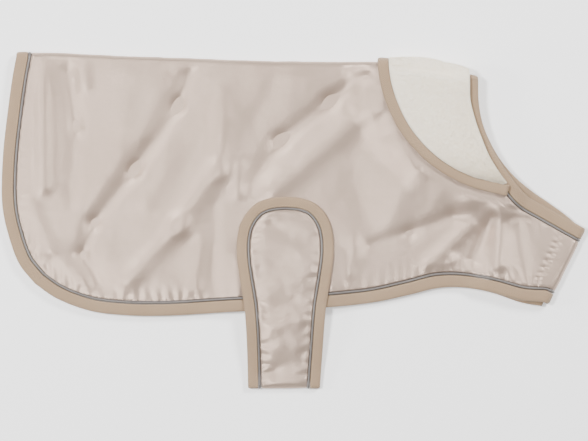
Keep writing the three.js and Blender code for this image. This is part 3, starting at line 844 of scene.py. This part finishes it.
# %% Stitching
def stitches(name, path, closed, across, up, mapping, pitch=3.2, long=2.1, thick=0.32):
    """One small bar of thread for each stitch along a path."""
    inward = rails(path, closed)
    line = path + inward * across
    along = np.concatenate([[0], np.cumsum(np.linalg.norm(np.diff(line, axis=0), axis=1))])
    starts = np.arange(pitch, along[-1] - pitch, pitch)
    ring = [2 * math.pi * k / 6 for k in range(6)]
    side = np.stack([np.interp(starts, along, inward[:, k]) for k in (0, 1)], 1)
    side /= np.linalg.norm(side, axis=1)[:, None] + 1e-9
    points, faces = [], []
    profile = [(-0.5, 0.35, -0.25), (-0.3, 0.9, 0.05), (0.0, 1.0, 0.15), (0.3, 0.9, 0.05),
               (0.5, 0.35, -0.25)]
    for share_along, size, lift in profile:
        at = np.stack([np.interp(starts + share_along * long, along, line[:, k]) for k in (0, 1)], 1)
        for t in ring:
            p = at + side * (thick * size * math.cos(t))
            points.append(mapping(p[:, 0], p[:, 1], up + lift + thick * size * math.sin(t)))
    points = np.stack(points, 1)
    per = points.shape[1]
    for n in range(len(starts)):
        for r in range(len(profile) - 1):
            for m in range(6):
                a, b = n * per + r * 6 + m, n * per + r * 6 + (m + 1) % 6
                faces.append((a, b, b + 6, a + 6))
        faces.append(tuple(n * per + m for m in range(5, -1, -1))[:4])
    flat = np.zeros((points.shape[0] * per, 2))
    return make_mesh(name, points, faces, flat, THREAD)


edge_seam = stitches("edge_stitches", EDGE, True, BINDING_WIDTH - 1.3, WALL / 2 + 0.1, place)

# %% [markdown]
# ## The plush collar
# The collar is turned down over the neck, near half above and far half below, joined round the spine.
# The pile is a crowned pad with small clumps, and short hairs soften its surface and its outline.

# %% Collar outline
COLLAR_CELLS, PILE_CELLS = 64, 34


def collar_line(line):
    upper = flat_of(line.at(np.linspace(1, 0, COLLAR_CELLS + 1)), 1)
    upper[-1, 1] = QUARTER
    lower = upper[::-1] * np.array([1, -1])
    return np.vstack([upper, round_fold(upper[-1, 0], True), lower])


free_line = collar_line(COLLAR_FREE)
pile_free = free_line + rails(free_line, False) * (COLLAR_BINDING + GAP)
pile_neck = collar_line(COLLAR_NECK)
THROAT_SKIP = 2  # stations at each throat where the pile has run out
pile_neck, pile_free = pile_neck[THROAT_SKIP:-THROAT_SKIP], pile_free[THROAT_SKIP:-THROAT_SKIP]
print("stations along the collar:", len(pile_neck))

# %% [markdown]
# The pad is thick in the middle, thinner at its two edges and at the throat. Three sizes of noise make
# the uneven clumps that brushed pile falls into.

# %% The pad of the collar
v = np.linspace(0, 1, PILE_CELLS + 1)[None, :, None]
pile = pile_neck[:, None] * (1 - v) + pile_free[:, None] * v
px, ps = pile[..., 0], pile[..., 1]
crown = np.sin(math.pi * (0.1 + 0.8 * v[..., 0])) ** 0.6
ends = np.minimum(np.arange(len(pile_neck)), np.arange(len(pile_neck))[::-1])[:, None]
throat = smooth((ends + 5) / 22)
clumps = 0.35 * noise(px, ps, 5.0, 0) + 0.25 * noise(px, ps, 2.6, 1) + 0.5 * noise(px, ps, 22.0, 2)
depth = PLUSH * crown * (0.4 + 0.6 * throat) - 0.5 + clumps
pile_outer = place(px, ps, COLLAR_BASE + np.clip(depth, 0.6, PLUSH))
pile_inner = place(px, ps, np.full(px.shape, COLLAR_BASE))
whole = np.ones((px.shape[0] - 1, px.shape[1] - 1), bool)
collar = wall("plush_collar_pile", pile_outer, pile_inner, whole, pile, PILE)

collar_tape = strip("collar_binding_tape", free_line, False,
                    tape_section(COLLAR_BINDING, COLLAR_BASE, COLLAR_BASE + WALL - 0.3), place, TAPE, 0.2)

# %% [markdown]
# Short hairs break up the pad's hard outline. Each is one thin triangle that leans a little at random,
# which looks soft from a distance and costs far less than a strand.

# %% Hairs
def hairs(name, surface, count, length, width):
    """Short tapering hairs, each one thin triangle, leaning a little at random."""
    r = np.random.default_rng(11)
    i = r.uniform(0.2, surface.shape[0] - 1.2, count)
    j = r.uniform(0.2, surface.shape[1] - 1.2, count)
    a, b = i.astype(int), j.astype(int)
    fa, fb = (i - a)[:, None], (j - b)[:, None]
    base = (surface[a, b] * (1 - fa) * (1 - fb) + surface[a + 1, b] * fa * (1 - fb)
            + surface[a, b + 1] * (1 - fa) * fb + surface[a + 1, b + 1] * fa * fb)
    normal = np.cross(surface[a + 1, b] - surface[a, b], surface[a, b + 1] - surface[a, b])
    normal /= np.linalg.norm(normal, axis=1)[:, None] + 1e-12
    if normal[:, 2][base[:, 2] > base[:, 2].mean()].mean() < 0:
        normal = -normal
    lean = r.normal(0, 0.45, (count, 3))
    way = normal + lean
    way /= np.linalg.norm(way, axis=1)[:, None]
    side = np.cross(way, r.normal(0, 1, (count, 3)))
    side *= width / (np.linalg.norm(side, axis=1)[:, None] + 1e-12)
    size = length * r.uniform(0.6, 1.25, (count, 1))
    points = np.stack([base - side - way * 0.3, base + side - way * 0.3, base + way * size], 1)
    points[..., 2] = np.maximum(points[..., 2], 0.1)
    faces = np.arange(count * 3).reshape(-1, 3)
    return make_mesh(name, points, faces, np.zeros((count * 3, 2)), PILE)


fuzz = hairs("plush_collar_hairs", pile_outer, 60000, 1.5, 0.16)

# %% [markdown]
# ## The belly strap
# The strap is sewn inside the far half, comes out below the hem, folds up and lies on the near half,
# where its rounded tip is pressed down. It has the same satin, cord and tape as the body.

# %% Folding the strap
TIP_Y, HEM_Y, TURN_RADIUS = 24.5, -94.0, 2.4
BACK_MIDDLE = WALL + LAY_GAP / 2 + STRAP_WALL / 2 + 0.1
FRONT_END = STRAP_TURN + TURN_RADIUS
FRONT_LENGTH, TURN_LENGTH, BACK_LENGTH = TIP_Y - FRONT_END, math.pi * TURN_RADIUS, STRAP_ROOT - FRONT_END
LOW_MIDDLE = STRAP_WALL / 2


def strap_place(x, v, h):
    x, v, h = np.broadcast_arrays(np.asarray(x, float), v, h)
    y = TIP_Y - v
    on_coat = near_z(x, np.maximum(y, HEM_Y)) + WALL / 2 + LAY_GAP + STRAP_WALL / 2
    drop = smooth((HEM_Y - y) / (HEM_Y - FRONT_END))
    front = on_coat + (LOW_MIDDLE + 2 * TURN_RADIUS - on_coat) * drop + h
    angle = np.clip((v - FRONT_LENGTH) / TURN_RADIUS, 0, math.pi)
    turn_y = FRONT_END - (TURN_RADIUS + h) * np.sin(angle)
    turn_z = LOW_MIDDLE + TURN_RADIUS + (TURN_RADIUS + h) * np.cos(angle)
    back_y = FRONT_END + (v - FRONT_LENGTH - TURN_LENGTH)
    climb = smooth((back_y + 150) / (HEM_Y - 6 + 150))
    back_z = LOW_MIDDLE + (BACK_MIDDLE - LOW_MIDDLE) * climb - h
    first, second = v <= FRONT_LENGTH, v <= FRONT_LENGTH + TURN_LENGTH
    return np.stack([x, np.where(first, y, np.where(second, turn_y, back_y)),
                     np.where(first, front, np.where(second, turn_z, back_z))], -1)


print("strap length:", round(FRONT_LENGTH + TURN_LENGTH + BACK_LENGTH), "mm")

# %% [markdown]
# The strap's edge runs up one side, round the tip and down the other, and goes straight on behind the
# fold. The satin inside it is ruled from side to side.

# %% Edge of the strap
FRONT_CELLS, BACK_CELLS, STRAP_ACROSS = 110, 30, 44


def strap_side(line):
    reach = np.interp(-FRONT_END, -line.points[:, 1], line.along / line.length)
    front = line.at(np.linspace(0, reach, FRONT_CELLS + 1))
    front[:, 1] = TIP_Y - front[:, 1]
    front[-1, 1] = FRONT_LENGTH
    turned = FRONT_LENGTH + TURN_LENGTH * np.arange(1, 11) / 10
    behind = FRONT_LENGTH + TURN_LENGTH + BACK_LENGTH * np.arange(1, BACK_CELLS + 1) / BACK_CELLS
    rest = np.concatenate([turned, behind])
    return np.vstack([front, np.stack([np.full(len(rest), front[-1, 0]), rest], 1)])


strap_left, strap_right = strap_side(STRAP_LEFT), strap_side(STRAP_RIGHT)
STRAP_EDGE = np.vstack([strap_left[::-1], strap_right[1:]])
strap_rim = STRAP_EDGE + rails(STRAP_EDGE, False) * STRAP_INSET
top = len(strap_left) - 1
w = np.linspace(0, 1, STRAP_ACROSS + 1)[None, :, None]
sheet = strap_rim[top - 2::-1][:, None] * (1 - w) + strap_rim[top + 2:][:, None] * w
print("grid of the strap:", sheet.shape)

# %% [markdown]
# The strap is narrow and often bent, so its folds lie closer than the shell's, most of them slanting.
# It bulges gently between its seams, and gathers run in from both.

# %% Relief of the strap
STRAP_CREASES = [  # from x, y, to x, y, half width, height
    (-35, 2, 5, 7, 4, 0.8), (-10, 6, 24, 2, 4, -0.8), (-22, -5, -5, -14, 6, -1.1),
    (-30, -20, 5, -30, 8, 1.1), (0, -35, 24, -22, 7, 0.9), (-32, -50, 0, -38, 8, -0.9),
    (-28, -75, 20, -52, 8, 1.2), (-30, -98, 15, -80, 7, -1.0), (-25, -112, 10, -100, 8, 0.9),
    (-5, -125, 20, -105, 7, -0.8), (-30, -140, 0, -122, 9, 1.0),
    (-20, -155, 12, -140, 6, -0.8), (-35, -166, 20, -163, 4, 0.7), (10, -75, 26, -95, 6, 0.6),
]
sx, sv = sheet[..., 0], sheet[..., 1]
sy = TIP_Y - sv
edge_away = np.minimum(w[..., 0], 1 - w[..., 0]) * np.abs(sx[:, -1:] - sx[:, :1])
tip_away = np.maximum(sv - sv.min(), 0)
rim_away = np.minimum(edge_away, tip_away)
strap_relief = swell(sx, sy, STRAP_CREASES) * smooth(rim_away / 9) * (sv < FRONT_LENGTH)
gathers = np.sin((sy + 5 * noise(sx, sy, 20.0, 2)) * 2 * math.pi / 12)
strap_relief += 0.5 * gathers * np.exp(-((edge_away - 4) / 6) ** 2)
strap_relief += 0.25 * noise(sx, sy, 9.0, 0) * smooth(rim_away / 6) - 0.7 * (1 - smooth(rim_away / 2.5))
strap_relief += 0.9 * smooth(rim_away / 14) * (sv < FRONT_LENGTH)
strap_relief = np.where(sv > FRONT_LENGTH, np.minimum(strap_relief, 0.0), strap_relief)
print("strap relief up to", round(float(strap_relief.max()), 2), "mm")

# %% [markdown]
# The same makers then build the strap's satin, tape, cord and stitching, folded by strap_place().

# %% The strap and its trims
strap = wall("belly_strap_cloth", strap_place(sx, sv, STRAP_WALL / 2 + strap_relief),
             strap_place(sx, sv, np.full(sx.shape, -STRAP_WALL / 2)),
             np.ones((sx.shape[0] - 1, sx.shape[1] - 1), bool), sheet, SATIN)
strap_tape = strip("strap_binding_tape", STRAP_EDGE, False,
                   tape_section(STRAP_BINDING, -STRAP_WALL / 2, STRAP_WALL / 2), strap_place, TAPE, 0.2)
strap_cord = strip("strap_piping_cord", STRAP_EDGE, False,
                   cord_section(STRAP_BINDING + GAP, STRAP_PIPING, 0.55, 1.25), strap_place, CORD, 0.15)
strap_seam = stitches("strap_stitches", STRAP_EDGE, False, STRAP_BINDING - 1.2, STRAP_WALL / 2 + 0.1,
                      strap_place)

# %% [markdown]
# ## Join the pieces to the frame
# Every piece rides on the one body and replaces its plain solid.

# %% Ride and replace
for piece, node, slot in (
    (shell, "body_shell", "satin"), (binding, "edge_binding", "tape"), (piping, "edge_piping", "cord"),
    (collar, "plush_collar", "plush"), (collar_tape, "collar_binding", "tape"),
    (strap, "belly_strap", "satin"), (strap_tape, "strap_binding", "tape"),
    (strap_cord, "strap_piping", "cord"),
):
    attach(piece, "root")
    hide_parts(node)
for piece, slot in ((edge_seam, "tape"), (strap_seam, "tape"), (fuzz, "plush")):
    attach(piece, "root")

# %% [markdown]
# ## Floor, light and camera
# The coat lies on a plain pale floor under broad soft light, and the camera looks straight down.

# %% Floor
floor_finish = Finish("floor", Roughness=0.9, Emission_Color=(1, 1, 1, 1), Emission_Strength=0.6)
cloudy = floor_finish.noise(2.0) * 0.3
floor_finish.feed("Base Color", floor_finish.mix(cloudy, (0.93, 0.93, 0.93, 1), (0.9, 0.9, 0.9, 1)))
floor_mesh = bpy.data.meshes.new("floor")
floor_mesh.from_pydata([(-4, -4, 0), (4, -4, 0), (4, 4, 0), (-4, 4, 0)], [], [(0, 1, 2, 3)])
floor_mesh.materials.append(floor_finish.material)
floor = bpy.data.objects.new("floor", floor_mesh)
bpy.context.scene.collection.objects.link(floor)
print("floor:", [round(v) for v in floor.dimensions], "m")

# %% [markdown]
# Satin shows its folds only where a lamp is reflected, so two lamps stand to the left, one high and one
# low, and the key to the upper right throws the collar's soft shadow.

# %% Lamps
def lamp(name, place_at, size, watts):
    light = bpy.data.lights.new(name, "AREA")
    light.shape, light.size, light.energy = "DISK", size, watts
    thing = bpy.data.objects.new(name, light)
    thing.location = place_at
    thing.rotation_euler = Vector([-v for v in place_at]).to_track_quat("-Z", "Y").to_euler()
    bpy.context.scene.collection.objects.link(thing)


lamp("key", (1.3, 1.2, 1.5), 0.7, 60)
lamp("left_high", (-1.1, 0.35, 2.3), 0.5, 85)
lamp("left_low", (-1.7, 0.1, 0.8), 0.4, 16)
world = bpy.data.worlds.new("studio")
world.use_nodes = True
world.node_tree.nodes["Background"].inputs[0].default_value = (1, 1, 1, 1)
world.node_tree.nodes["Background"].inputs[1].default_value = 0.36
bpy.context.scene.world = world
print("lamps:", [light.name for light in bpy.data.lights])

# %% [markdown]
# The camera stands high with a long lens, so the flat coat keeps its true outline with hardly any
# perspective. The lens follows from the distance and the width that it has to take in.

# %% Camera
camera_data = bpy.data.cameras.new("camera")
camera_data.sensor_width, DISTANCE, VIEW_WIDTH = 36.0, 3.0, 0.6036
camera_data.lens = camera_data.sensor_width * DISTANCE / VIEW_WIDTH
camera = bpy.data.objects.new("camera", camera_data)
camera.location = (0.0013, 0.0, DISTANCE + 0.01)
bpy.context.scene.collection.objects.link(camera)
bpy.context.scene.camera = camera
print("lens:", round(camera_data.lens), "mm")

# %% [markdown]
